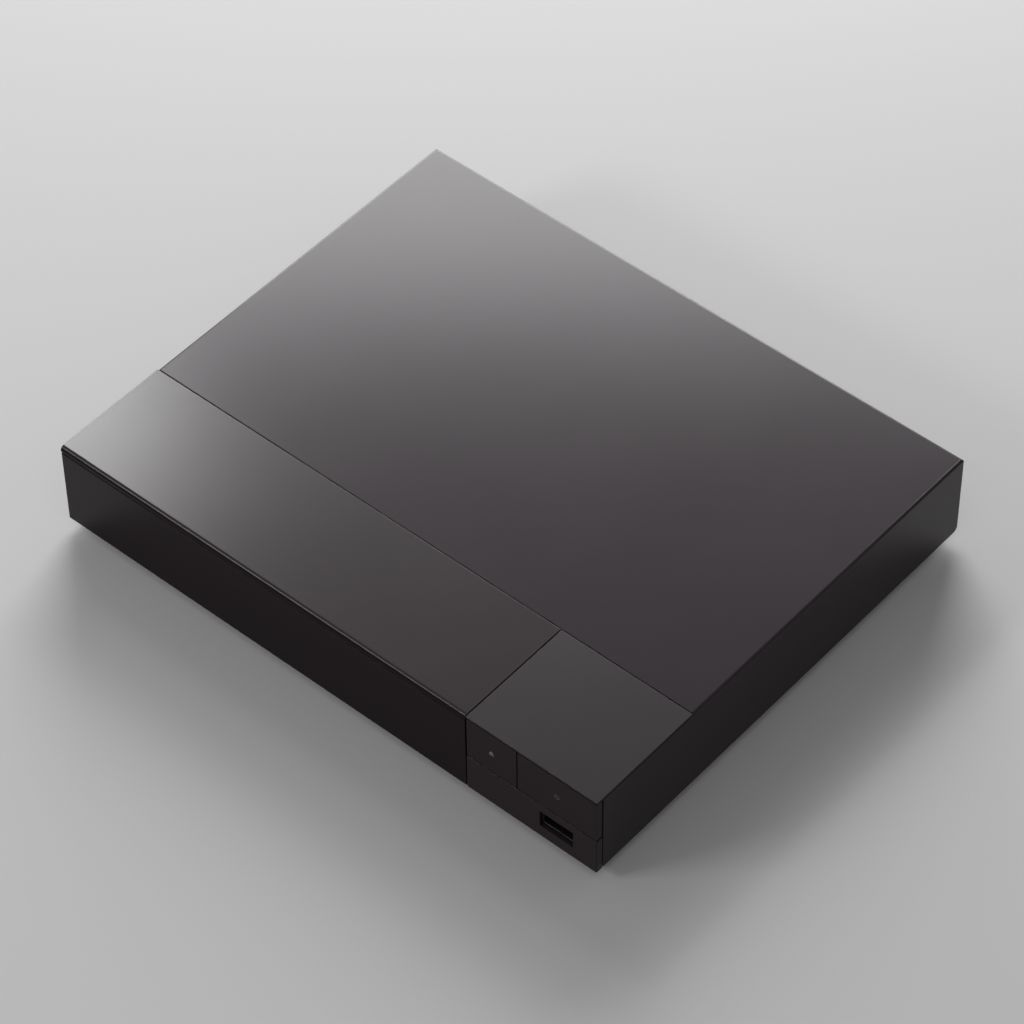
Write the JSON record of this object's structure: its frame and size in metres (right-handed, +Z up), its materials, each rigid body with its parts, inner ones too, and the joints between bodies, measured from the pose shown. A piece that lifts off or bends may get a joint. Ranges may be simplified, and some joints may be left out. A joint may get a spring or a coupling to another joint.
{
  "type": "blu-ray player",
  "caption": "Slim disc player with a front tray behind a full-height door, a block with two keys and a USB slot, and rear sockets.",
  "frame": {"origin": "on the surface that the feet stand on, under the middle of the player's box", "axes": "+X to the right seen from the front, +Y from the front to the sockets at the rear, +Z up"},
  "size_m": [0.23, 0.194, 0.039],
  "materials": {
    "cover_paint": "satin black paint on sheet steel",
    "rear_paint": "matt black paint on sheet steel",
    "plated_steel": "zinc-plated sheet steel",
    "front_gloss": "polished black moulding",
    "key_plastic": "polished black keys",
    "switch_plastic": "black switch bodies",
    "plunger_plastic": "grey plungers",
    "rubber_black": "black rubber",
    "tray_plastic": "fine-grained black moulding",
    "loader_plastic": "fine-grained black moulding",
    "gear_plastic": "white acetal",
    "motor_steel": "plated steel cans",
    "ground_steel": "ground steel",
    "spindle_base": "cast motor base",
    "turntable_plastic": "black moulding with a rubber ring",
    "magnet_steel": "plated magnet",
    "pickup_metal": "die-cast metal",
    "lens_plastic": "black moulding",
    "lens_glass": "coated glass",
    "board_green": "green solder mask",
    "sink_metal": "black anodised",
    "chip_plastic": "moulded chip housings",
    "can_metal": "printed aluminium cans",
    "lamp_glass": "tinted lamp",
    "ribbon": "white flat cable",
    "socket_plastic": "cream sockets",
    "jack_plastic": "black moulding",
    "socket_steel": "plated socket shells",
    "sleeve_metal": "plated sleeve and pin",
    "core_plastic": "orange insulator",
    "screw_steel": "black zinc screws"
  },
  "bodies": {
    "case": {"board_screws": "screw_steel", "bottom_chassis": "plated_steel", "bridge_screws": "screw_steel", "cable_sockets": "socket_plastic", "capacitors": "can_metal", "clamp_bridge": "plated_steel", "coax_core": "core_plastic", "coax_jack": "jack_plastic", "coax_sleeve": "sleeve_metal", "control_cover": "front_gloss", "cover_screws": "screw_steel", "dc_jack": "jack_plastic", "dc_pin": "sleeve_metal", "drive_belt": "rubber_black", "eject_switch": "switch_plastic", "feet": "rubber_black", "front_board": "board_green", "front_cable": "ribbon", "front_panel": "front_gloss", "hdmi_socket": "socket_steel", "heat_sink": "sink_metal", "lan_jack": "socket_steel", "loader_base": "loader_plastic", "loader_screws": "screw_steel", "loading_motor": "motor_steel", "main_board": "board_green", "memory_chips": "chip_plastic", "pickup_cable": "ribbon", "power_coils": "chip_plastic", "power_lamp": "lamp_glass", "power_switch": "switch_plastic", "processor_chip": "chip_plastic", "rear_panel": "rear_paint", "remote_receiver": "chip_plastic", "top_cover": "cover_paint", "usb_socket": "socket_steel", "usb_tongue": "jack_plastic"},
    "tray": {"disc_tray": "tray_plastic", "tray_door": "front_gloss"},
    "drive_gear": {"drive_gear": "gear_plastic"},
    "pulley_gear": {"pulley_gear": "gear_plastic"},
    "motor_pulley": {"motor_pulley": "gear_plastic"},
    "cam": {"cam_slider": "gear_plastic"},
    "traverse": {"traverse_frame": "loader_plastic", "spindle_motor": "spindle_base", "guide_shafts": "ground_steel", "sled_motor": "motor_steel"},
    "spindle": {"spindle_rotor": "motor_steel", "turntable": "turntable_plastic"},
    "clamper": {"clamper": "turntable_plastic", "clamp_magnet": "magnet_steel"},
    "sled": {"pickup_sled": "pickup_metal"},
    "lens": {"lens_holder": "lens_plastic", "objective_lens": "lens_glass"},
    "lead_screw": {"lead_screw": "ground_steel"},
    "eject": {"eject_button": "key_plastic", "eject_plunger": "plunger_plastic"},
    "power": {"power_button": "key_plastic", "power_plunger": "plunger_plastic"}
  },
  "joints": [
    {"name": "tray_slide", "type": "slide", "parent": "case", "child": "tray", "axis": [0, -1, 0], "range_m": [0, 0.136]},
    {"name": "drive_gear_spin", "type": "hinge", "parent": "case", "child": "drive_gear", "pos_m": [0.016, -0.0725, 0.015], "axis": [0, 0, 1], "continuous": true},
    {"name": "pulley_gear_spin", "type": "hinge", "parent": "case", "child": "pulley_gear", "pos_m": [-0.00713, -0.0725, 0.015], "axis": [0, 0, 1], "continuous": true},
    {"name": "motor_pulley_spin", "type": "hinge", "parent": "case", "child": "motor_pulley", "pos_m": [-0.055, -0.0725, 0.017], "axis": [0, 0, 1], "continuous": true},
    {"name": "cam_slide", "type": "slide", "parent": "case", "child": "cam", "axis": [1, 0, 0], "range_m": [0, 0.02]},
    {"name": "traverse_tilt", "type": "hinge", "parent": "case", "child": "traverse", "pos_m": [-0.02675, 0.054, 0.013], "axis": [1, 0, 0], "range_deg": [0, 2.75]},
    {"name": "turntable_spin", "type": "hinge", "parent": "traverse", "child": "spindle", "pos_m": [-0.02675, -0.029, 0.018], "axis": [0, 0, 1], "continuous": true},
    {"name": "clamper_spin", "type": "hinge", "parent": "case", "child": "clamper", "pos_m": [-0.02675, -0.029, 0.028], "axis": [0, 0, 1], "continuous": true},
    {"name": "sled_slide", "type": "slide", "parent": "traverse", "child": "sled", "axis": [0, 1, 0], "range_m": [0, 0.035]},
    {"name": "lead_screw_spin", "type": "hinge", "parent": "traverse", "child": "lead_screw", "pos_m": [-0.05825, 0, 0.0135], "axis": [0, 1, 0], "continuous": true},
    {"name": "lens_focus", "type": "slide", "parent": "sled", "child": "lens", "axis": [0, 0, 1], "range_m": [-0.0005, 0.0005], "stiffness_N_per_m": 120},
    {"name": "eject_button_press", "type": "slide", "parent": "case", "child": "eject", "axis": [0, 1, 0], "range_m": [0, 0.0004], "stiffness_N_per_m": 600},
    {"name": "power_button_press", "type": "slide", "parent": "case", "child": "power", "axis": [0, 1, 0], "range_m": [0, 0.0004], "stiffness_N_per_m": 600}
  ],
  "couplings": [
    {"joint": "drive_gear_spin", "follows": "tray_slide", "rad_per_m": -100},
    {"joint": "pulley_gear_spin", "follows": "tray_slide", "rad_per_m": 208.33},
    {"joint": "motor_pulley_spin", "follows": "tray_slide", "rad_per_m": 668.53},
    {"joint": "traverse_tilt", "follows": "cam_slide", "rad_per_m": 2.3912},
    {"joint": "clamper_spin", "follows": "turntable_spin", "ratio": 1},
    {"joint": "lead_screw_spin", "follows": "sled_slide", "rad_per_m": 2094.4}
  ]
}
